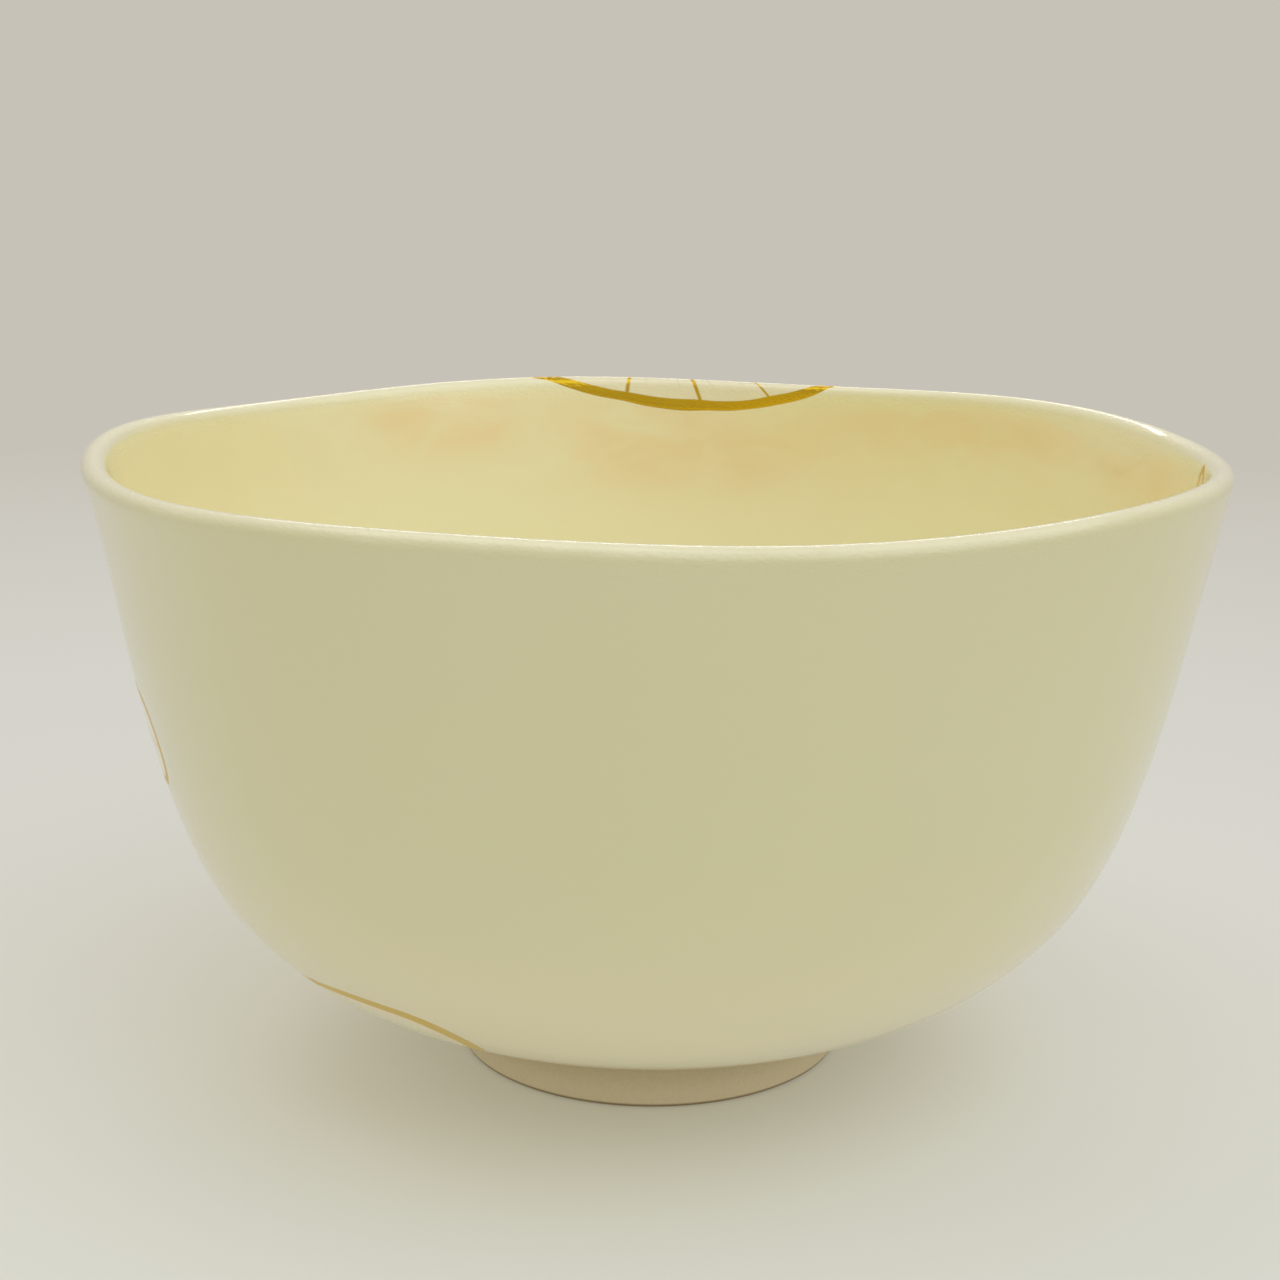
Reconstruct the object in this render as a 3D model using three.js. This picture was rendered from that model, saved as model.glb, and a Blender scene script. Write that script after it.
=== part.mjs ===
/*
 * A tea bowl: one hollow ceramic body, thrown on a wheel and then pressed softly out of round,
 * on a low foot ring. Millimetres, +Z up. The origin is on the surface that the bowl stands on,
 * under the middle of its mouth.
 */
import * as THREE from 'three';

// Overall size
const HEIGHT = 67.3; // mean height of the lip's crest
const RIM_RADIUS = 59.8; // mean radius outside the lip

// Clay thickness
const LIP_THICKNESS = 2.6;
const WALL = 3.4; // where the side turns into the underside
const FLOOR = 4.4; // between the recess under the foot and the inside

// Foot ring
const FOOT_RADIUS = 21.2;
const FOOT_HEIGHT = 5.4;
const FOOT_RING_WIDTH = 4.2;
const FOOT_EDGE_RADIUS = 0.5;
const RECESS_DEPTH = 4.8;
const RECESS_CORNER_RADIUS = 1.2;

// Free form of the side: where it turns, as shares of the rim's radius and of the height,
// its slopes from the level in degrees, and its fullness as shares of each curve's chord
const TURN_RADIUS_SHARE = 0.784;
const TURN_HEIGHT_SHARE = 0.3;
const UNDERSIDE_SLOPE = 19.5;
const TURN_SLOPE = 51.8;
const RIM_SLOPE = 80.4;
const UNDERSIDE_FULLNESS = [0.46, 0.36];
const SIDE_FULLNESS = [0.23, 0.35];
const HOLLOW_FULLNESS = [0.46, 0.4];

// Hand-pressed form of the mouth. Each wave has a number of crests round the bowl, a size in
// millimetres and the direction of one crest, in degrees from +X towards +Y.
const PRESSED_LOBES = [
  { crests: 1, size: 0.48, at: 207 },
  { crests: 2, size: 0.72, at: 118 },
  { crests: 3, size: 0.17, at: -12 },
  { crests: 4, size: 0.61, at: 60 },
  { crests: 5, size: 0.28, at: 24 },
];
const LIP_HEAVE = [
  { crests: 1, size: 0.21, at: 256 },
  { crests: 2, size: 0.33, at: 23 },
  { crests: 3, size: 0.15, at: 77 },
  { crests: 5, size: 0.35, at: 34 },
];
const LIP_FLARE = [
  { crests: 1, size: 0.36, at: 254 },
  { crests: 2, size: 0.27, at: 3 },
  { crests: 3, size: 0.93, at: -13 },
  { crests: 4, size: 0.56, at: 24 },
];
const PRESS_FADE = 1.5; // how fast the waves die away towards the foot
const FLARE_START_SHARE = 0.78; // share of the height where the lip's flare begins

// Facets
const AROUND_STEPS = 72;
const CURVE_STEPS = 9;
const LIP_STEPS = 6;
const EDGE_STEPS = 2;

/** The unit vector along a slope, in the section's plane of radius and height. */
function along(degrees) {
  const angle = THREE.MathUtils.degToRad(degrees);
  return new THREE.Vector2(Math.cos(angle), Math.sin(angle));
}

/** The unit vector square to a rising slope, pointing outwards and down. */
function outwards(degrees) {
  const direction = along(degrees);
  return new THREE.Vector2(direction.y, -direction.x);
}

/** A smooth curve between two points, leaving and arriving on the given slopes. */
function sweep(start, startSlope, end, endSlope, fullness) {
  const chord = start.distanceTo(end);
  const startHandle = start.clone().addScaledVector(along(startSlope), fullness[0] * chord);
  const endHandle = end.clone().addScaledVector(along(endSlope), -fullness[1] * chord);
  return new THREE.CubicBezierCurve(start, startHandle, endHandle, end);
}

/** Points of an arc about a centre, from one direction to another, in degrees. */
function arc(centre, radius, from, to, steps) {
  const points = [];
  for (let step = 0; step <= steps; step += 1) {
    const turn = THREE.MathUtils.lerp(from, to, step / steps);
    points.push(centre.clone().addScaledVector(along(turn), radius));
  }
  return points;
}

/** The closed half section of the bowl, from the axis under the foot round to the axis inside. */
function bowlSection() {
  const ringInner = FOOT_RADIUS - FOOT_RING_WIDTH;
  const edge = FOOT_EDGE_RADIUS;
  const corner = RECESS_CORNER_RADIUS;
  const recess = [
    new THREE.Vector2(0, RECESS_DEPTH),
    ...arc(new THREE.Vector2(ringInner - corner, RECESS_DEPTH - corner), corner, 90, 0, EDGE_STEPS),
  ];
  const ring = [
    ...arc(new THREE.Vector2(ringInner + edge, edge), edge, 180, 270, EDGE_STEPS),
    ...arc(new THREE.Vector2(FOOT_RADIUS - edge, edge), edge, 270, 360, EDGE_STEPS),
  ];

  const footTop = new THREE.Vector2(FOOT_RADIUS, FOOT_HEIGHT);
  const turn = new THREE.Vector2(TURN_RADIUS_SHARE * RIM_RADIUS, TURN_HEIGHT_SHARE * HEIGHT);
  const lipRadius = LIP_THICKNESS / 2;
  const lipCentre = new THREE.Vector2(RIM_RADIUS - lipRadius, HEIGHT - lipRadius);
  const lipOutside = lipCentre.clone().addScaledVector(outwards(RIM_SLOPE), lipRadius);
  const underside = sweep(footTop, UNDERSIDE_SLOPE, turn, TURN_SLOPE, UNDERSIDE_FULLNESS);
  const side = sweep(turn, TURN_SLOPE, lipOutside, RIM_SLOPE, SIDE_FULLNESS);
  const lip = arc(lipCentre, lipRadius, RIM_SLOPE - 90, RIM_SLOPE + 90, LIP_STEPS);

  const lipInside = lip[lip.length - 1];
  const innerTurn = turn.clone().addScaledVector(outwards(TURN_SLOPE), -WALL);
  const bottom = new THREE.Vector2(0, RECESS_DEPTH + FLOOR);
  const innerSide = sweep(innerTurn, TURN_SLOPE, lipInside, RIM_SLOPE, SIDE_FULLNESS);
  const hollow = sweep(bottom, 0, innerTurn, TURN_SLOPE, HOLLOW_FULLNESS);

  return [
    ...recess,
    ...ring,
    ...underside.getPoints(CURVE_STEPS),
    ...side.getPoints(CURVE_STEPS).slice(1, -1),
    ...lip,
    ...innerSide.getPoints(CURVE_STEPS).reverse().slice(1),
    ...hollow.getPoints(CURVE_STEPS).reverse().slice(1),
  ];
}

/** The sum of a list of waves in one direction round the bowl. */
function waveSum(waves, direction) {
  return waves.reduce((sum, wave) => {
    const phase = wave.crests * (direction - THREE.MathUtils.degToRad(wave.at));
    return sum + wave.size * Math.cos(phase);
  }, 0);
}

/** Presses a round bowl out of true: not at all at the foot, and most at the lip. */
function pressOutOfRound(geometry) {
  const position = geometry.getAttribute('position');
  for (let index = 0; index < position.count; index += 1) {
    const x = position.getX(index);
    const y = position.getY(index);
    const z = position.getZ(index);
    const radius = Math.hypot(x, y);
    const direction = Math.atan2(y, x);
    const rise = Math.max(0, (z - FOOT_HEIGHT) / (HEIGHT - FOOT_HEIGHT));
    const press = rise ** PRESS_FADE * Math.min(1, radius / FOOT_RADIUS);
    const flareRise = Math.max(0, (z / HEIGHT - FLARE_START_SHARE) / (1 - FLARE_START_SHARE));
    const push = press * waveSum(PRESSED_LOBES, direction) + flareRise ** 2 * waveSum(LIP_FLARE, direction);
    const lift = press * waveSum(LIP_HEAVE, direction);
    const stretch = radius > 0 ? (radius + push) / radius : 1;
    position.setXYZ(index, x * stretch, y * stretch, z + lift);
  }
}

function makeBowl() {
  const geometry = new THREE.LatheGeometry(bowlSection(), AROUND_STEPS);
  geometry.rotateX(Math.PI / 2);
  pressOutOfRound(geometry);
  geometry.computeVertexNormals();
  const ivoryGlaze = new THREE.MeshStandardMaterial({
    name: 'ivory_glaze',
    color: new THREE.Color().setStyle('rgb(228, 222, 184)'),
    roughness: 0.22,
    metalness: 0,
  });
  const bowl = new THREE.Mesh(geometry, ivoryGlaze);
  bowl.name = 'bowl';
  return bowl;
}

const teaBowl = new THREE.Group();
teaBowl.name = 'tea_bowl';
teaBowl.add(makeBowl());

export default teaBowl;
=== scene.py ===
"""The looks of a softly pressed tea bowl: ivory glaze, bare foot ring, and white blossoms drawn in gold.

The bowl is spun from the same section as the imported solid, finer, and pressed out of round by the
same waves. What is painted on it is worked out on its unfolded wall and kept as mesh attributes,
which the finish turns into enamel and gold.
"""

import logging
import math
from dataclasses import dataclass, field
from enum import Enum

import bmesh
import bpy
import numpy as np
from mathutils import Matrix, Vector
from mathutils.geometry import interpolate_bezier


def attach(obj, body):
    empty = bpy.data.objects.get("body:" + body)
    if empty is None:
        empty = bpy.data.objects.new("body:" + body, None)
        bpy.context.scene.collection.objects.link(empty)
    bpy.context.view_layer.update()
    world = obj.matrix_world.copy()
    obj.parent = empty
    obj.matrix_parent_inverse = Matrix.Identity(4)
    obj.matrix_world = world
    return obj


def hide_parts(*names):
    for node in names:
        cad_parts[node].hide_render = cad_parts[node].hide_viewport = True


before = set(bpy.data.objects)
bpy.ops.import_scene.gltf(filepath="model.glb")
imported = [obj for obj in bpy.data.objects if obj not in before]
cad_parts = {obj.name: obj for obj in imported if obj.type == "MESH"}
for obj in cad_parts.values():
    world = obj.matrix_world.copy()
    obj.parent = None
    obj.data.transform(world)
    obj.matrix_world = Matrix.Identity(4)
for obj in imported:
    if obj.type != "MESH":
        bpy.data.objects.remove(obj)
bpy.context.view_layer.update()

LOG = logging.getLogger("tea_bowl")
MM = 0.001  # one millimetre in metres

Colour = tuple[float, float, float, float]


def srgb(red: int, green: int, blue: int) -> Colour:
    """Return a screen colour, given as three values up to 255, as the linear colour that nodes take."""
    def linear(level: int) -> float:
        share = level / 255
        return share / 12.92 if share <= 0.04045 else ((share + 0.055) / 1.055) ** 2.4
    return (linear(red), linear(green), linear(blue), 1.0)


def slope(degrees: float) -> Vector:
    """Return the unit vector at a slope from the level, in the section's plane of radius and height."""
    angle = math.radians(degrees)
    return Vector((math.cos(angle), math.sin(angle)))


def outwards(degrees: float) -> Vector:
    """Return the unit vector square to a rising slope, pointing out and down."""
    direction = slope(degrees)
    return Vector((direction.y, -direction.x))


def sweep(start: Vector, leave: float, end: Vector, arrive: float,
          fullness: tuple[float, float], steps: int) -> list[Vector]:
    """Return points of a smooth curve between two points of the section.

    Args:
        start: The first point, in millimetres.
        leave: The slope at the first point, in degrees.
        end: The last point.
        arrive: The slope at the last point.
        fullness: The two handles' lengths, as shares of the chord.
        steps: The number of stretches.

    Returns:
        The points, both ends among them.
    """
    chord = (end - start).length
    first = start + slope(leave) * (fullness[0] * chord)
    second = end - slope(arrive) * (fullness[1] * chord)
    return interpolate_bezier(start, first, second, end, steps + 1)


def arc(centre: Vector, radius: float, begin: float, end: float, steps: int) -> list[Vector]:
    """Return points of an arc in the section, from one direction to another in degrees."""
    turns = (begin + (end - begin) * step / steps for step in range(steps + 1))
    return [centre + slope(turn) * radius for turn in turns]


@dataclass(frozen=True)
class Wave:
    """One wave of the hand-pressed form.

    Attributes:
        crests: The number of crests round the bowl.
        size: How far a crest stands out, in millimetres.
        at: The direction of one crest, in degrees from +X towards +Y.
    """

    crests: int
    size: float
    at: float

    def reach(self, direction: np.ndarray) -> np.ndarray:
        """Return the wave's push in millimetres towards directions given in radians."""
        return self.size * np.cos(self.crests * (direction - math.radians(self.at)))


def wave_sum(waves: tuple[Wave, ...], direction: np.ndarray) -> np.ndarray:
    """Return what a set of waves adds up to in each direction."""
    return sum(wave.reach(direction) for wave in waves)


@dataclass(frozen=True)
class BowlForm:
    """The bowl's sizes in millimetres, and its section and press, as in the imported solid.

    The two trims draw the fine curves in by a hair, so that they stay within the solid's facets.
    Lengths under least_length count as none.
    """

    height: float = 67.3
    rim_radius: float = 59.8
    lip_thickness: float = 2.6
    wall: float = 3.4
    floor: float = 4.4
    foot_radius: float = 21.2
    foot_height: float = 5.4
    foot_ring_width: float = 4.2
    foot_edge_radius: float = 0.5
    recess_depth: float = 4.8
    recess_corner_radius: float = 1.2
    turn_radius_share: float = 0.784
    turn_height_share: float = 0.3
    underside_slope: float = 19.5
    turn_slope: float = 51.8
    rim_slope: float = 80.4
    underside_fullness: tuple[float, float] = (0.46, 0.36)
    side_fullness: tuple[float, float] = (0.23, 0.35)
    hollow_fullness: tuple[float, float] = (0.46, 0.4)
    lobes: tuple[Wave, ...] = (
        Wave(1, 0.48, 207), Wave(2, 0.72, 118), Wave(3, 0.17, -12), Wave(4, 0.61, 60), Wave(5, 0.28, 24))
    heave: tuple[Wave, ...] = (
        Wave(1, 0.21, 256), Wave(2, 0.33, 23), Wave(3, 0.15, 77), Wave(5, 0.35, 34))
    flare: tuple[Wave, ...] = (
        Wave(1, 0.36, 254), Wave(2, 0.27, 3), Wave(3, 0.93, -13), Wave(4, 0.56, 24))
    press_fade: float = 1.5
    flare_start_share: float = 0.78
    level_trim: float = 0.9984
    rise_trim: float = 0.9996
    least_length: float = 0.001
    doublings: int = 4
    sector_steps: int = 28
    turn_steps: int = 36
    side_steps: int = 56
    lip_steps: int = 14
    edge_steps: int = 4

    def foot_section(self) -> list[Vector]:
        """Return the section from the axis under the foot, round the ring, to its outer edge."""
        inner = self.foot_radius - self.foot_ring_width
        edge, corner = self.foot_edge_radius, self.recess_corner_radius
        corner_centre = Vector((inner - corner, self.recess_depth - corner))
        inner_centre = Vector((inner + edge, edge))
        outer_centre = Vector((self.foot_radius - edge, edge))
        return [
            Vector((0.0, self.recess_depth)),
            Vector((inner / 2, self.recess_depth)),
            *arc(corner_centre, corner, 90, 0, self.edge_steps),
            *arc(inner_centre, edge, 180, 270, self.edge_steps),
            *arc(outer_centre, edge, 270, 360, self.edge_steps),
        ]

    def outer_section(self) -> list[Vector]:
        """Return the section's outside, from the top of the foot to the start of the lip."""
        foot_top = Vector((self.foot_radius, self.foot_height))
        lip_outside = self.lip_centre() + outwards(self.rim_slope) * (self.lip_thickness / 2)
        underside = sweep(foot_top, self.underside_slope, self.turn(), self.turn_slope,
                          self.underside_fullness, self.turn_steps)
        side = sweep(self.turn(), self.turn_slope, lip_outside, self.rim_slope,
                     self.side_fullness, self.side_steps)
        return underside + side[1:]

    def inner_section(self) -> list[Vector]:
        """Return the section's inside, from the end of the lip down to the axis."""
        lip_inside = self.lip_centre() - outwards(self.rim_slope) * (self.lip_thickness / 2)
        inner_turn = self.turn() - outwards(self.turn_slope) * self.wall
        bottom = Vector((0.0, self.recess_depth + self.floor))
        hollow = sweep(bottom, 0, inner_turn, self.turn_slope, self.hollow_fullness, self.turn_steps)
        side = sweep(inner_turn, self.turn_slope, lip_inside, self.rim_slope,
                     self.side_fullness, self.side_steps)
        return (hollow + side[1:])[::-1]

    def lip_section(self) -> list[Vector]:
        """Return the lip's round, from the outside over the crest to the inside."""
        return arc(self.lip_centre(), self.lip_thickness / 2,
                   self.rim_slope - 90, self.rim_slope + 90, self.lip_steps)

    def turn(self) -> Vector:
        """Return the point where the side turns into the underside."""
        return Vector((self.turn_radius_share * self.rim_radius, self.turn_height_share * self.height))

    def lip_centre(self) -> Vector:
        """Return the centre of the lip's round."""
        return Vector((self.rim_radius - self.lip_thickness / 2, self.height - self.lip_thickness / 2))

    def section(self) -> tuple[list[Vector], list[float]]:
        """Return the whole half section, and each point's way over the lip.

        Returns:
            The points from axis to axis, and for each the length along the surface from the lip's
            crest, in millimetres, less than nothing outside and more inside.
        """
        points = (self.foot_section() + self.outer_section()
                  + self.lip_section()[1:-1] + self.inner_section())
        ways = [0.0]
        for before, after in zip(points, points[1:]):
            ways.append(ways[-1] + (after - before).length)
        crest = ways[max(range(len(points)), key=lambda index: points[index].y)]
        return points, [way - crest for way in ways]

    def foot_line(self) -> float:
        """Return how far over the lip the top of the foot lies, outside."""
        _, ways = self.section()
        return ways[len(self.foot_section())]

    def press(self, places: np.ndarray) -> np.ndarray:
        """Press a round bowl softly out of true, most at the lip and not at all at the foot.

        Args:
            places: The vertices' places, one to a row, in millimetres.

        Returns:
            The pressed places.
        """
        x, y, z = places.T
        radius = np.hypot(x, y)
        direction = np.arctan2(y, x)
        rise = np.maximum(0, (z - self.foot_height) / (self.height - self.foot_height))
        press = rise ** self.press_fade * np.minimum(1, radius / self.foot_radius)
        flare_start = self.flare_start_share
        flare_rise = np.maximum(0, (z / self.height - flare_start) / (1 - flare_start))
        push = press * wave_sum(self.lobes, direction) + flare_rise ** 2 * wave_sum(self.flare, direction)
        stretch = (1 + push / np.maximum(radius, self.least_length)) * self.level_trim
        lift = press * wave_sum(self.heave, direction)
        return np.stack((x * stretch, y * stretch, (z + lift) * self.rise_trim), axis=1)


@dataclass(frozen=True)
class Wall:
    """The bowl's unfolded wall: for each vertex its direction, radius and way over the lip."""

    direction: np.ndarray
    radius: np.ndarray
    over_lip: np.ndarray


@dataclass(frozen=True)
class Motif:
    """A painted shape with a middle of its own on the unfolded wall.

    Attributes:
        at: The middle's direction round the bowl, in degrees.
        over_lip: The middle's way over the lip, in millimetres, less than nothing outside.
        half_length: Half the shape's length along its own axis.
        half_width: Half its width.
        tilt: The turn of its axis from the level, in degrees, as seen from outside.
    """

    at: float
    over_lip: float
    half_length: float
    half_width: float
    tilt: float = 0.0

    def chart(self, wall: Wall) -> tuple[np.ndarray, np.ndarray]:
        """Return how far each vertex lies along and across the shape's axis, in millimetres."""
        turn = wall.direction - math.radians(self.at)
        turn = np.arctan2(np.sin(turn), np.cos(turn))
        level = turn * wall.radius
        rise = wall.over_lip - self.over_lip
        tilt = math.radians(self.tilt)
        along = level * math.cos(tilt) + rise * math.sin(tilt)
        across = rise * math.cos(tilt) - level * math.sin(tilt)
        return along, across


@dataclass(frozen=True)
class Blossom(Motif):
    """A many-petalled blossom with an inner ring of petals and a gold heart.

    Attributes:
        heart: The heart's place from the middle, along and across the axis.
        petals: The number of outer petals, an even number.
        scallop: How deep the outline dips between two petals, in millimetres. It is plainer at the lip.
        inner_petals: The number of inner petals, an even number.
        inner_share: The inner ring's size as a share of the blossom's.
        inner_scallop: How much deeper its outline dips than by that share.
        heart_share: The gold heart's size as a share of the blossom's.
        plain_way: How far below the lip the outline starts to get plainer.
        plainest: The scallops' share of their depth on the lip.
    """

    heart: tuple[float, float] = (0.0, 0.0)
    petals: int = 16
    scallop: float = 2.0
    inner_petals: int = 10
    inner_share: float = 0.46
    inner_scallop: float = 0.6
    heart_share: float = 0.15
    plain_way: float = 12
    plainest: float = 0.06

    def fields(self, wall: Wall) -> dict[str, np.ndarray]:
        """Return signed distances to the blossom's lines at each vertex, in millimetres."""
        along, across = self.chart(wall)
        scallop = self.scallop * np.clip(-wall.over_lip / self.plain_way, self.plainest, 1)
        size = math.sqrt(self.half_length * self.half_width)
        level = np.hypot(along / self.half_length, across / self.half_width)
        steepness = np.hypot(along / self.half_length ** 2, across / self.half_width ** 2)
        edge = level * (level - 1) / np.maximum(steepness, 1 / size ** 2)

        along = along - self.heart[0]
        across = across - self.heart[1]
        angle = np.arctan2(across / self.half_width, along / self.half_length)
        reach = np.hypot(along, across)
        share = np.hypot(along / self.half_length, across / self.half_width)
        wave = np.cos(self.petals / 2 * angle)
        inner_wave = np.sin(self.inner_petals / 2 * angle)
        inner_scallop = self.scallop * self.inner_share + self.inner_scallop
        return {
            "blossom_edge": edge + scallop * (1 - np.abs(wave)),
            "petal_seam": wave * reach * 2 / self.petals,
            "inner_edge": (share - self.inner_share) * size + inner_scallop * (1 - np.abs(inner_wave)),
            "inner_seam": inner_wave * reach * 2 / self.inner_petals,
            "heart_edge": (share - self.heart_share) * size,
            "petal_vein": np.cos(self.petals * angle) * reach / self.petals,
        }


@dataclass(frozen=True)
class Leaf(Motif):
    """A long leaf with rounded points, a midrib and slanting veins.

    Attributes:
        round: The radius of its points, in millimetres.
        line: The width of its gold outline.
        line_least, line_swell: The line's share of that half way, and how much it gains at the points.
        vein_pitch: The way from one side vein to the next.
        vein_slant: How far a vein runs along for each millimetre across.
    """

    round: float = 1.6
    line: float = 0.9
    line_least: float = 0.7
    line_swell: float = 0.5
    vein_pitch: float = 4.5
    vein_slant: float = 1.1

    def fields(self, wall: Wall) -> dict[str, np.ndarray]:
        """Return signed distances to the leaf's lines at each vertex, in millimetres."""
        along, across = self.chart(wall)
        length, width = self.half_length - self.round, self.half_width - self.round
        bow = (length ** 2 + width ** 2) / (2 * width)
        offset = bow - width
        end, side = np.abs(along) - length, np.abs(across)
        from_side = np.hypot(along, side + offset) - bow
        from_point = np.hypot(end, side)
        turn = 2 * math.pi / self.vein_pitch
        swell = self.line_swell * (along / self.half_length) ** 2
        return {
            "leaf_edge": np.where(end * offset > side * length, from_point, from_side) - self.round,
            "leaf_line": self.line * (self.line_least + swell),
            "leaf_rib": across,
            "leaf_vein": np.sin((along - self.vein_slant * np.abs(across)) * turn) / turn,
        }


@dataclass(frozen=True)
class Blush(Motif):
    """A soft patch of warmer glaze on the inner wall.

    Attributes:
        rise: Where it starts to show inside the lip, and where it is full, in millimetres.
    """

    rise: tuple[float, float] = (1, 3)

    def share(self, wall: Wall) -> np.ndarray:
        """Return how strong the patch is at each vertex, from 0 to 1."""
        along, across = self.chart(wall)
        start, full = self.rise
        inside = np.clip((wall.over_lip - start) / (full - start), 0, 1)
        return inside * np.exp(-(along / self.half_length) ** 2 - (across / self.half_width) ** 2)


@dataclass(frozen=True)
class Painting:
    """All that is painted on the bowl.

    Attributes:
        blossoms: The white blossoms.
        leaves: The white leaves, which lie under the blossoms.
        blushes: The warm patches inside.
    """

    blossoms: tuple[Blossom, ...] = (
        Blossom(at=89.3, over_lip=-14.3, half_length=32, half_width=18, tilt=-7.6, heart=(2, -2),
                petals=22, scallop=2.4),
        Blossom(at=38, over_lip=-46, half_length=26, half_width=19, tilt=15, heart=(3, 1),
                petals=18, scallop=2.2),
        Blossom(at=150, over_lip=-43, half_length=23, half_width=18, tilt=-20, heart=(-2, 1),
                petals=16, scallop=2.2),
        Blossom(at=98, over_lip=-56, half_length=13, half_width=11, petals=14, scallop=1.5),
    )
    leaves: tuple[Leaf, ...] = (
        Leaf(at=-133, over_lip=-59.8, half_length=12.4, half_width=6.2, tilt=9, round=5, line=2),
        Leaf(at=-168.6, over_lip=-29.4, half_length=13.5, half_width=5.5, round=4.6, line=1.0),
        Leaf(at=-2.5, over_lip=-10.5, half_length=19, half_width=8.5, round=6, line=0.7),
        Leaf(at=-17.5, over_lip=11, half_length=12.5, half_width=3, tilt=-47, round=0.6, line=0.7),
        Leaf(at=150, over_lip=-13, half_length=17, half_width=6, tilt=-20),
        Leaf(at=68, over_lip=-62, half_length=15, half_width=5, tilt=-25),
    )
    blushes: tuple[Blush, ...] = (
        Blush(at=120.8, over_lip=4.5, half_length=9, half_width=3),
        Blush(at=115, over_lip=6.5, half_length=10, half_width=3.4),
        Blush(at=93, over_lip=8, half_length=9, half_width=6),
        Blush(at=78, over_lip=11, half_length=15, half_width=5.5),
        Blush(at=44, over_lip=5.2, half_length=22, half_width=3.2),
        Blush(at=8, over_lip=6, half_length=10, half_width=2.8),
        Blush(at=-60, over_lip=9, half_length=20, half_width=5),
        Blush(at=-125, over_lip=6, half_length=16, half_width=4),
    )

    def fields(self, wall: Wall) -> dict[str, np.ndarray]:
        """Return the drawing's attributes, each vertex taking those of its nearest shape."""
        drawn = {"blush": np.minimum(sum(blush.share(wall) for blush in self.blushes), 1)}
        for shapes, lead in ((self.blossoms, "blossom_edge"), (self.leaves, "leaf_edge")):
            for shape in shapes:
                found = shape.fields(wall)
                if lead not in drawn:
                    drawn.update(found)
                    continue
                nearer = found[lead] < drawn[lead]
                for name, values in found.items():
                    drawn[name] = np.where(nearer, values, drawn[name])
        return drawn


class Value:
    """A number that varies over a surface. Python's operators on it add Math nodes."""

    def __init__(self, graph: "Graph", socket: bpy.types.NodeSocket) -> None:
        """Keep the graph and the socket that gives the number."""
        self.graph = graph
        self.socket = socket

    def __add__(self, other: "Number") -> "Value":
        """Return the sum."""
        return self.graph.math("ADD", self, other)

    def __sub__(self, other: "Number") -> "Value":
        """Return the difference."""
        return self.graph.math("SUBTRACT", self, other)

    def __rsub__(self, other: "Number") -> "Value":
        """Return the other less this."""
        return self.graph.math("SUBTRACT", other, self)

    def __mul__(self, other: "Number") -> "Value":
        """Return the product."""
        return self.graph.math("MULTIPLY", self, other)

    def __truediv__(self, other: "Number") -> "Value":
        """Return this over the other."""
        return self.graph.math("DIVIDE", self, other)

    def __abs__(self) -> "Value":
        """Return the size without its sign."""
        return self.graph.math("ABSOLUTE", self)

    def most(self, other: "Number") -> "Value":
        """Return the larger of the two."""
        return self.graph.math("MAXIMUM", self, other)

    def ramp(self, start: float, end: float, even: bool = False) -> "Value":
        """Return a share that rises from 0 at one value to 1 at the other, softly or evenly."""
        settings = {"interpolation_type": "LINEAR" if even else "SMOOTHSTEP"}
        sockets = {"Value": self, "From Min": start, "From Max": end}
        return Value(self.graph, self.graph.add("ShaderNodeMapRange", settings, sockets).outputs["Result"])

    def below(self, limit: float, soft: float) -> "Value":
        """Return 1 where the value is under a limit, 0 over it, with a soft edge."""
        return 1 - self.ramp(limit - soft / 2, limit + soft / 2)

    def line(self, width: "Number", soft: float) -> "Value":
        """Return 1 on a line of some width where the value is nothing, with soft sides."""
        return (abs(self) - width * 0.5).below(0, soft)


Number = Value | float | int


@dataclass(frozen=True)
class Blots:
    """One kind of noise.

    Attributes:
        size: The size of its blots, in millimetres.
        detail: How many finer layers it has.
        roughness: How strong these are.
        distortion: How far it is stirred.
        flatness: How many times as wide as high its blots are.
    """

    size: float
    detail: float = 2
    roughness: float = 0.5
    distortion: float = 0
    flatness: float = 1


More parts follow.
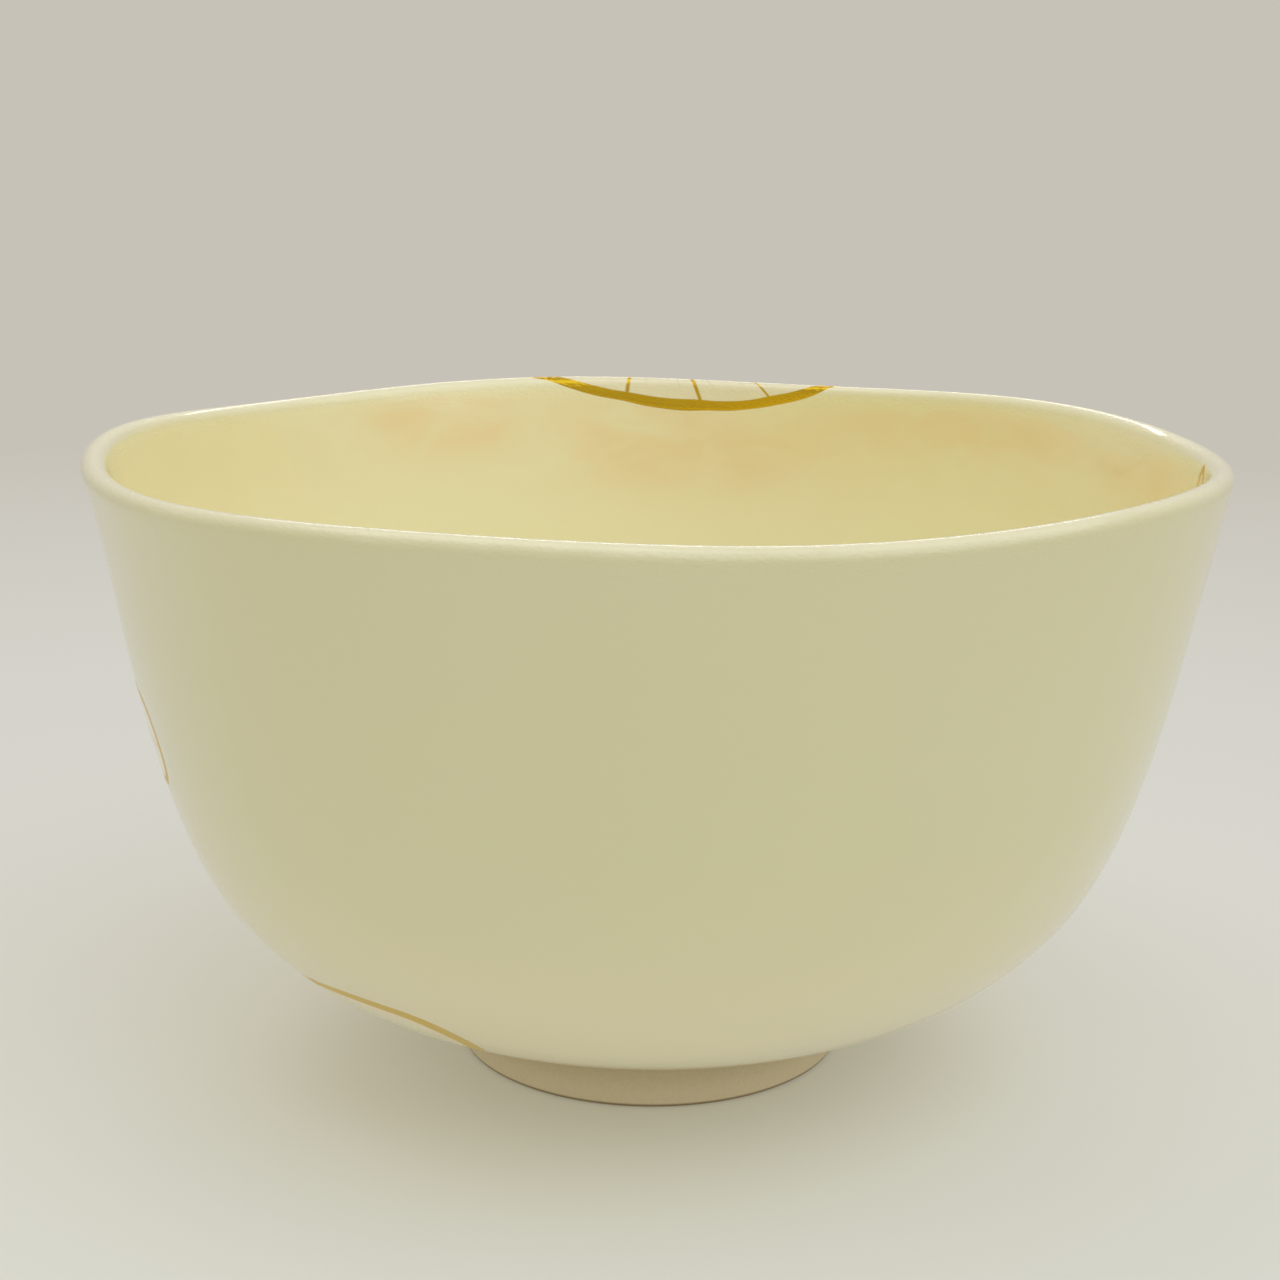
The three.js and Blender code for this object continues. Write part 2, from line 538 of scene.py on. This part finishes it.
class Graph:
    """The nodes of one material."""

    def __init__(self, name: str) -> None:
        """Start an empty material.

        Args:
            name: The material's name.
        """
        self.material = bpy.data.materials.new(name)
        self.material.use_nodes = True
        self.tree = self.material.node_tree
        self.tree.nodes.clear()

    def add(self, kind: str, settings: dict[str, object] | None = None,
            sockets: dict[str | int, object] | None = None) -> bpy.types.Node:
        """Add a node.

        Args:
            kind: The node's type.
            settings: Its settings, by name, set before its sockets.
            sockets: The values or links of its sockets, by name or number.

        Returns:
            The node.
        """
        node = self.tree.nodes.new(kind)
        for name, setting in (settings or {}).items():
            setattr(node, name, setting)
        for name, given in (sockets or {}).items():
            if isinstance(given, Value):
                self.tree.links.new(given.socket, node.inputs[name])
            elif isinstance(given, bpy.types.NodeSocket):
                self.tree.links.new(given, node.inputs[name])
            else:
                node.inputs[name].default_value = given
        return node

    def math(self, operation: str, *numbers: Number) -> Value:
        """Return what a Math node makes of some numbers."""
        node = self.add("ShaderNodeMath", {"operation": operation}, dict(enumerate(numbers)))
        return Value(self, node.outputs["Value"])

    def attribute(self, name: str) -> Value:
        """Return one of the mesh's attributes."""
        return Value(self, self.add("ShaderNodeAttribute", {"attribute_name": name}).outputs["Fac"])

    def noise(self, blots: Blots) -> Value:
        """Return noise on Object coordinates, a value about 0.5."""
        place = self.add("ShaderNodeTexCoord").outputs["Object"]
        if blots.flatness != 1:
            squash = {0: place, 1: (1.0, 1.0, blots.flatness)}
            place = self.add("ShaderNodeVectorMath", {"operation": "MULTIPLY"}, squash).outputs["Vector"]
        sockets = {"Vector": place, "Scale": 1 / (blots.size * MM), "Detail": blots.detail,
                   "Roughness": blots.roughness, "Distortion": blots.distortion}
        return Value(self, self.add("ShaderNodeTexNoise", None, sockets).outputs["Fac"])

    def mix(self, share: Number, first: object, second: object) -> bpy.types.NodeSocket:
        """Return the colour between two colours, at a share of the way."""
        settings = {"data_type": "RGBA"}
        node = self.add("ShaderNodeMix", settings, {0: share, 6: first, 7: second})
        return node.outputs[2]

    def bump(self, height: Value) -> bpy.types.NodeSocket:
        """Return the normal of a surface raised by a height in millimetres."""
        sockets = {"Height": height, "Distance": MM, "Strength": 1.0}
        return self.add("ShaderNodeBump", None, sockets).outputs["Normal"]

    def finish(self, sockets: dict[str, object]) -> bpy.types.Material:
        """Close the graph with a surface shader and return its material."""
        shader = self.add("ShaderNodeBsdfPrincipled", None, sockets)
        self.add("ShaderNodeOutputMaterial", None, {"Surface": shader.outputs["BSDF"]})
        return self.material


@dataclass(frozen=True)
class BowlFinish:
    """The bowl's finish: ivory glaze, a paler lip, bare clay at the foot, white enamel and gold.

    Lengths are in millimetres. A pair called range says where a share starts to rise and where it is
    full, and a pair called edge says where something ends and how softly.

    Attributes:
        foot_line: How far over the lip the glaze ends, outside.
        glaze, glaze_shade: The glaze and its deeper pools.
        glaze_lit_low: The glaze low on the bowl, painted lighter and warmer as painted light towards the
            foot.
        hollow: The glaze inside, painted lighter for the light that shines through the thin wall.
        flush: The warm flush under the lip, inside.
        lip: The glaze over the lip, paler where it thins, with painted light on its top as well.
        clay, clay_grain_and_shade: The bare clay of the foot, and the darker colour of its grains and of
            the painted shade at its top.
        contact_shadow: The painted contact shadow, a dark line where the foot meets what it stands on.
        enamel: The white of the petals.
        petal_tint: The warmer white of the leaves, towards their edges.
        vein: The thin lines brushed on the petals and leaves.
        gold, bronze: The gilding of the blossoms, and that of the leaves.
        gold_line, seam_line, vein_line: The widths of the brushed lines.
        brush_edge: How soft their sides are.
        brush, brush_least, brush_swing: How the brush's pressure varies, its least and its swing.
        vein_end_edge, vein_start_range: Where the petals' veins run.
        leaf_vein_share, rib_share, vein_share: How strongly veins and ribs are brushed.
        wander: How far the ends of the glaze and of the lip's band stray.
        glaze_end, lip_end: The noises by which they do.
        glaze_end_range: Where the glaze ends, from the foot line.
        inside_range: Where the inside's colour comes in, over the lip.
        lip_middle, lip_edge, lip_share: The lip's pale band, thinner glaze with painted light on it.
        pools, pool_range, pool_share: The glaze's pools.
        lit_low_edge: Where the painted light low on the bowl comes in.
        stirring, stir_range: The clouds in the flush.
        flush_range, flush_end_range: Where the flush lies inside.
        blush_share, flush_share: How strong its patches are, and the band between them.
        tint_range, tint_clear_range: Where a leaf's tint lies, from its edge and off the blossoms.
        grain, grain_range, grain_share: The clay's grains.
        painted_shade_range, painted_shade_share: The painted shade on the clay, darkest at its top by the
            foot line.
        contact_shadow_drop, contact_shadow_line, contact_shadow_edge, contact_shadow_share: The painted
        contact shadow's place below the foot line.
        ripple, ripple_height, swell, swell_height: The glaze's unevenness.
        peel, peel_edge, peel_height: The finer one along the lip.
        blossom_edge, leaf_edge, enamel_height: Where the enamel's edge lies, and its thickness.
        glaze_roughness, gold_polish, enamel_matt, clay_roughness: How rough each surface is.
        bronze_metal: How metallic the leaves' gilding is.
        coat, coat_roughness: The glaze's gloss.
    """

    foot_line: float
    glaze: Colour = srgb(232, 228, 185)
    glaze_shade: Colour = srgb(231, 227, 178)
    glaze_lit_low: Colour = srgb(243, 234, 197)
    hollow: Colour = srgb(252, 247, 204)
    flush: Colour = srgb(251, 227, 172)
    lip: Colour = srgb(255, 251, 219)
    clay: Colour = srgb(234, 221, 191)
    clay_grain_and_shade: Colour = srgb(208, 193, 157)
    contact_shadow: Colour = srgb(120, 98, 62)
    enamel: Colour = srgb(248, 242, 210)
    petal_tint: Colour = srgb(255, 236, 200)
    vein: Colour = srgb(186, 180, 148)
    gold: Colour = srgb(214, 177, 44)
    bronze: Colour = srgb(222, 190, 88)
    gold_line: float = 1.35
    seam_line: float = 0.28
    vein_line: float = 0.18
    brush_edge: float = 0.18
    brush: Blots = Blots(9, 1)
    brush_least: float = 0.65
    brush_swing: float = 0.7
    vein_end_edge: tuple[float, float] = (-3, 4)
    vein_start_range: tuple[float, float] = (1, 4)
    leaf_vein_share: float = 0.5
    rib_share: float = 0.6
    vein_share: float = 0.3
    wander: float = 0.8
    glaze_end: Blots = Blots(6)
    lip_end: Blots = Blots(5)
    glaze_end_range: tuple[float, float] = (-0.1, 0.3)
    inside_range: tuple[float, float] = (0.5, 2.5)
    lip_middle: float = 0.6
    lip_edge: tuple[float, float] = (1.4, 1.9)
    lip_share: float = 0.9
    pools: Blots = Blots(30)
    pool_range: tuple[float, float] = (0.2, 0.8)
    pool_share: float = 0.5
    lit_low_edge: tuple[float, float] = (-43, 30)
    stirring: Blots = Blots(9, distortion=0.5, flatness=2)
    stir_range: tuple[float, float] = (0, 0.72)
    flush_range: tuple[float, float] = (1, 5)
    flush_end_range: tuple[float, float] = (9, 20)
    blush_share: float = 0.65
    flush_share: float = 0.2
    tint_range: tuple[float, float] = (-4, 0.5)
    tint_clear_range: tuple[float, float] = (0, 1)
    grain: Blots = Blots(0.3, roughness=0.6)
    grain_range: tuple[float, float] = (0.3, 0.7)
    grain_share: float = 0.2
    painted_shade_range: tuple[float, float] = (-4.5, -0.5)
    painted_shade_share: float = 0.8
    contact_shadow_drop: float = 5.6
    contact_shadow_line: float = 1.2
    contact_shadow_edge: float = 0.3
    contact_shadow_share: float = 0.8
    ripple: Blots = Blots(2.2, 1)
    ripple_height: float = 0.006
    swell: Blots = Blots(7, 0)
    swell_height: float = 0.014
    peel: Blots = Blots(0.55, 1, flatness=2)
    peel_edge: tuple[float, float] = (3, 5)
    peel_height: float = 0.09
    blossom_edge: tuple[float, float] = (0.5, 0.3)
    leaf_edge: tuple[float, float] = (0.4, 0.3)
    enamel_height: float = 0.03
    glaze_roughness: float = 0.3
    gold_polish: float = 0.06
    enamel_matt: float = 0.05
    clay_roughness: float = 0.75
    bronze_metal: float = 0.25
    coat: float = 0.8
    coat_roughness: float = 0.06

    def gilding(self, graph: Graph) -> tuple[Value, Value, Value, Value]:
        """Return where gold, bronze, white enamel and brushed veins lie.

        Args:
            graph: The material's nodes.

        Returns:
            The shares of gold, of bronze, of enamel and of vein.
        """
        soft = self.brush_edge
        pressure = graph.noise(self.brush) * self.brush_swing + self.brush_least
        edge = graph.attribute("blossom_edge")
        inner = graph.attribute("inner_edge")
        heart = graph.attribute("heart_edge")
        leaf = graph.attribute("leaf_edge")
        petal = edge.below(0, soft)
        outer_ring = petal * (1 - inner.below(0, soft))
        inner_ring = inner.below(0, soft) * (1 - heart.below(0, soft))
        leaf_only = leaf.below(0, soft) * (1 - petal)

        outline = edge.line(pressure * self.gold_line, soft)
        seams = graph.attribute("petal_seam").line(pressure * self.seam_line, soft) * outer_ring
        inner_outline = inner.line(pressure * self.seam_line, soft) * petal
        inner_seams = graph.attribute("inner_seam").line(pressure * self.seam_line, soft) * inner_ring
        leaf_outline = leaf.line(pressure * graph.attribute("leaf_line"), soft) * (1 - petal)
        rib = graph.attribute("leaf_rib").line(pressure * self.seam_line, soft) * leaf_only
        gold = outline.most(seams).most(inner_outline).most(inner_seams)
        gold = gold.most(heart.below(0, soft) * petal)

        petal_veins = graph.attribute("petal_vein").line(self.vein_line, soft) * outer_ring
        petal_veins = petal_veins * edge.below(*self.vein_end_edge) * inner.ramp(*self.vein_start_range)
        leaf_veins = graph.attribute("leaf_vein").line(self.vein_line, soft) * leaf_only
        veins = petal_veins.most(leaf_veins * self.leaf_vein_share)
        return gold, leaf_outline.most(rib * self.rib_share), petal.most(leaf_only), veins

    def glaze_colour(self, graph: Graph, way: Value, inside: Value) -> bpy.types.NodeSocket:
        """Return the glaze's colour, without what is painted on it.

        Args:
            graph: The material's nodes.
            way: The way over the lip.
            inside: Where the bowl's inside is.

        Returns:
            The colour.
        """
        pooled = graph.noise(self.pools).ramp(*self.pool_range) * self.pool_share
        colour = graph.mix(pooled, self.glaze, self.glaze_shade)
        # Painted light: the glaze is painted lighter and warmer low on the bowl.
        colour = graph.mix(way.below(*self.lit_low_edge), colour, self.glaze_lit_low)
        # Painted light: the inside is painted lighter than the glaze outside.
        colour = graph.mix(inside, colour, self.hollow)
        stirred = graph.noise(self.stirring).ramp(*self.stir_range)
        band = way.ramp(*self.flush_range) * (1 - way.ramp(*self.flush_end_range))
        flushed = (graph.attribute("blush") * self.blush_share + band * self.flush_share) * stirred
        colour = graph.mix(flushed, colour, self.flush)
        # The lip's pale band: thinner glaze, and painted light on the lip's top.
        lip = abs(way + graph.noise(self.lip_end) * self.wander - self.lip_middle).below(*self.lip_edge)
        return graph.mix(lip * self.lip_share, colour, self.lip)

    def clay_colour(self, graph: Graph, above_foot: Value) -> bpy.types.NodeSocket:
        """Return the bare clay's colour, with painted shade at its top and a painted contact shadow at its
        base.

        Args:
            graph: The material's nodes.
            above_foot: The way up from the foot line.

        Returns:
            The colour.
        """
        grain = graph.noise(self.grain).ramp(*self.grain_range) * self.grain_share
        # Painted shade: the clay is darker at its top, under the glaze's edge.
        clay_painted_shade = above_foot.ramp(*self.painted_shade_range) * self.painted_shade_share
        clay = graph.mix(clay_painted_shade + grain, self.clay, self.clay_grain_and_shade)
        # Painted contact shadow: a dark line round the base of the foot, where it meets the floor.
        contact_shadow_mask = (above_foot + self.contact_shadow_drop).line(self.contact_shadow_line, self.contact_shadow_edge)
        return graph.mix(contact_shadow_mask * self.contact_shadow_share, clay, self.contact_shadow)

    def relief(self, graph: Graph, way: Value) -> Value:
        """Return how far the surface stands out, in millimetres, at each way over the lip."""
        surface = graph.noise(self.ripple) * self.ripple_height
        surface = surface + graph.noise(self.swell) * self.swell_height
        peel = graph.noise(self.peel) * abs(way).below(*self.peel_edge) * self.peel_height
        blossom = graph.attribute("blossom_edge").below(*self.blossom_edge)
        leaf = graph.attribute("leaf_edge").below(*self.leaf_edge)
        return surface + peel + blossom.most(leaf) * self.enamel_height

    def build(self) -> bpy.types.Material:
        """Return the material."""
        graph = Graph("ivory_glaze")
        way = graph.attribute("over_lip")
        inside = way.ramp(*self.inside_range)
        above_foot = way - self.foot_line
        strayed = above_foot + graph.noise(self.glaze_end) * self.wander
        glazed = strayed.ramp(*self.glaze_end_range).most(inside)
        gold, bronze, enamel, veins = (share * glazed for share in self.gilding(graph))

        colour = self.glaze_colour(graph, way, inside)
        tinted = graph.attribute("leaf_edge").ramp(*self.tint_range)
        tinted = tinted * graph.attribute("blossom_edge").ramp(*self.tint_clear_range)
        colour = graph.mix(enamel, colour, graph.mix(tinted, self.enamel, self.petal_tint))
        colour = graph.mix(veins * enamel * self.vein_share, colour, self.vein)
        colour = graph.mix(gold, colour, self.gold)
        colour = graph.mix(bronze, colour, self.bronze)
        colour = graph.mix(glazed, self.clay_colour(graph, above_foot), colour)

        fired = self.glaze_roughness - gold * self.gold_polish + enamel * self.enamel_matt
        return graph.finish({
            "Base Color": colour,
            "Roughness": glazed * fired + (1 - glazed) * self.clay_roughness,
            "Metallic": gold.most(bronze * self.bronze_metal),
            "Coat Weight": glazed * (1 - gold.most(bronze)) * self.coat,
            "Coat Roughness": self.coat_roughness,
            "Normal": graph.bump(self.relief(graph, way)),
        })


@dataclass
class TeaBowl:
    """The bowl itself: one hollow body with its foot, its painting and its finish.

    Attributes:
        form: The sizes and shape.
        painting: What is painted on it.
    """

    form: BowlForm = field(default_factory=BowlForm)
    painting: Painting = field(default_factory=Painting)

    def spin(self) -> bpy.types.Mesh:
        """Spin the section by a sector and double it up to a whole turn.

        Returns:
            The round mesh, in millimetres, with the way over the lip as an attribute.
        """
        section, ways = self.form.section()
        shape = bmesh.new()
        over_lip = shape.verts.layers.float.new("over_lip")
        chain = []
        for point, way in zip(section, ways):
            vertex = shape.verts.new((point.x, 0.0, point.y))
            vertex[over_lip] = way
            chain.append(vertex)
        edges = [shape.edges.new(pair) for pair in zip(chain, chain[1:])]
        sector = 2 * math.pi / 2 ** self.form.doublings
        bmesh.ops.spin(shape, geom=chain + edges, cent=(0, 0, 0), axis=(0, 0, 1),
                       angle=sector, steps=self.form.sector_steps)
        for doubling in range(self.form.doublings):
            whole = shape.verts[:] + shape.edges[:] + shape.faces[:]
            copied = bmesh.ops.duplicate(shape, geom=whole)["geom"]
            corners = [item for item in copied if isinstance(item, bmesh.types.BMVert)]
            turn = Matrix.Rotation(sector * 2 ** doubling, 3, "Z")
            bmesh.ops.rotate(shape, cent=(0, 0, 0), matrix=turn, verts=corners)
        bmesh.ops.remove_doubles(shape, verts=shape.verts, dist=self.form.least_length)
        bmesh.ops.recalc_face_normals(shape, faces=shape.faces)
        for face in shape.faces:
            face.smooth = True
        mesh = bpy.data.meshes.new("tea_bowl")
        shape.to_mesh(mesh)
        shape.free()
        return mesh

    def build(self) -> bpy.types.Object:
        """Make the bowl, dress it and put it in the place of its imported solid."""
        mesh = self.spin()
        count = len(mesh.vertices)
        places = np.empty(count * 3)
        mesh.vertices.foreach_get("co", places)
        places = places.reshape(-1, 3)
        over_lip = np.empty(count)
        mesh.attributes["over_lip"].data.foreach_get("value", over_lip)
        wall = Wall(np.arctan2(places[:, 1], places[:, 0]), np.hypot(places[:, 0], places[:, 1]), over_lip)
        for name, values in self.painting.fields(wall).items():
            mesh.attributes.new(name, "FLOAT", "POINT").data.foreach_set("value", values)
        mesh.vertices.foreach_set("co", (self.form.press(places) * MM).ravel())
        mesh.update()

        bowl = bpy.data.objects.new("tea_bowl", mesh)
        bpy.context.scene.collection.objects.link(bowl)
        mesh.materials.append(BowlFinish(self.form.foot_line()).build())
        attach(bowl, "root")
        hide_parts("bowl")
        LOG.info("tea_bowl: %d vertices, %d faces", count, len(mesh.polygons))
        return bowl


class Light(Enum):
    """The soft lights of the studio: name, place, width and depth in millimetres, power and colour."""

    OVERHEAD = ("overhead", (850, -520, 1500), (2400, 2400), 9.8, (0.88, 0.95, 1.0))
    LAMP = ("lamp", (-350, 50, 1300), (1000, 1000), 2.0, (1.0, 0.99, 0.94))
    STRIP = ("strip", (0, 1500, 900), (1100, 150), 1.8, (1.0, 0.97, 0.9))


@dataclass(frozen=True)
class Studio:
    """A pale floor that fades into the light all round, soft lights, and the photograph's camera.

    Attributes:
        floor_radius, floor_sides: The floor's radius in millimetres, and its number of sides.
        floor: The colour of the sheet that the bowl stands on.
        floor_glow: Painted light: the floor's own glow, which lifts its shadows.
        floor_roughness: How rough it is.
        shade: The bowl's painted shadow in the floor's glow: how far round its middle it reaches, and how
            softly it ends.
        painted_shade_share: How much of the glow it takes away.
        fade_middle: The floor's brightest place.
        fade: How far from there it starts to fade into the light all round, and where it has.
        surround: The light all round.
        lens, sensor, nearest: The camera's focal length, its sensor's width and its nearest view.
        camera_distance, camera_height: Its place in front of the bowl and above the floor.
        pitch, yaw, roll: Its turns in degrees: down, to the left, and about its own axis.
    """

    floor_radius: float = 4000
    floor_sides: int = 96
    floor: Colour = srgb(205, 211, 222)
    floor_glow: Colour = srgb(128, 122, 98)
    floor_roughness: float = 0.8
    shade: tuple[float, float] = (32, 25)
    painted_shade_share: float = 0.25
    fade_middle: tuple[float, float] = (-30, -60)
    fade: tuple[float, float] = (10, 520)
    surround: Colour = srgb(199, 194, 184)
    lens: float = 61.26
    sensor: float = 36
    nearest: float = 10
    camera_distance: float = 231.06
    camera_height: float = 100.72
    pitch: float = 13.507
    yaw: float = -0.331
    roll: float = 0.339

    def build_floor(self) -> bpy.types.Object:
        """Lay the floor."""
        shape = bmesh.new()
        bmesh.ops.create_circle(shape, cap_ends=True, segments=self.floor_sides,
                                 radius=self.floor_radius * MM)
        mesh = bpy.data.meshes.new("floor")
        shape.to_mesh(mesh)
        shape.free()
        floor = bpy.data.objects.new("floor", mesh)
        bpy.context.scene.collection.objects.link(floor)
        graph = Graph("floor_paper")
        place = graph.add("ShaderNodeTexCoord").outputs["Object"]
        length = graph.add("ShaderNodeVectorMath", {"operation": "LENGTH"}, {0: place})
        distance = Value(graph, length.outputs["Value"]) / MM
        middle = {0: place, 1: (self.fade_middle[0] * MM, self.fade_middle[1] * MM, 0.0)}
        spread = graph.add("ShaderNodeVectorMath", {"operation": "DISTANCE"}, middle)
        faded = (Value(graph, spread.outputs["Value"]) / MM).ramp(*self.fade, even=True)
        black = (0.0, 0.0, 0.0, 1.0)
        # Painted light: the floor glows, fading into the light all round.
        glow = graph.mix(faded, self.floor_glow, self.surround)
        # Painted shadow: less glow right under the bowl.
        glow = graph.mix(distance.below(*self.shade) * self.painted_shade_share, glow, black)
        mesh.materials.append(graph.finish({
            "Base Color": graph.mix(faded, self.floor, black),
            "Roughness": self.floor_roughness,
            "Specular IOR Level": 0.0,
            "Emission Color": glow,
            "Emission Strength": 1.0,
        }))
        return floor

    def build_lights(self) -> None:
        """Hang the soft lights and set the light all round."""
        for light in Light:
            name, place, size, power, colour = light.value
            lamp = bpy.data.lights.new(name, "AREA")
            lamp.shape = "ELLIPSE"
            lamp.size = size[0] * MM
            lamp.size_y = size[1] * MM
            lamp.energy = power
            lamp.color = colour
            holder = bpy.data.objects.new(name, lamp)
            holder.location = Vector(place) * MM
            holder.rotation_euler = (-holder.location).to_track_quat("-Z", "Y").to_euler()
            bpy.context.scene.collection.objects.link(holder)
        world = bpy.data.worlds.new("studio")
        world.use_nodes = True
        world.node_tree.nodes["Background"].inputs["Color"].default_value = self.surround
        bpy.context.scene.world = world

    def build_camera(self) -> bpy.types.Object:
        """Set the camera at the photograph's viewing angle."""
        yaw, pitch, roll = (math.radians(turn) for turn in (self.yaw, self.pitch, self.roll))
        level = math.cos(pitch)
        ahead = Vector((level * math.sin(yaw), level * math.cos(yaw), -math.sin(pitch)))
        right = Vector((math.cos(yaw), -math.sin(yaw), 0))
        right = Matrix.Rotation(-roll, 3, ahead) @ right
        up = right.cross(ahead)
        lens = bpy.data.cameras.new("camera")
        lens.lens = self.lens
        lens.sensor_width = self.sensor
        lens.clip_start = self.nearest * MM
        camera = bpy.data.objects.new("camera", lens)
        turned = Matrix((right, up, -ahead)).transposed().to_4x4()
        place = Vector((0, -self.camera_distance, self.camera_height)) * MM
        camera.matrix_world = Matrix.Translation(place) @ turned
        bpy.context.scene.collection.objects.link(camera)
        bpy.context.scene.camera = camera
        return camera


def main() -> None:
    """Build the studio and the bowl; the bowl logs its counts."""
    logging.basicConfig(level=logging.INFO, format="%(name)s: %(message)s")
    studio = Studio()
    studio.build_camera()
    studio.build_floor()
    studio.build_lights()
    TeaBowl().build()
    bpy.context.scene.view_settings.view_transform = "Standard"


if __name__ == "__main__":
    main()
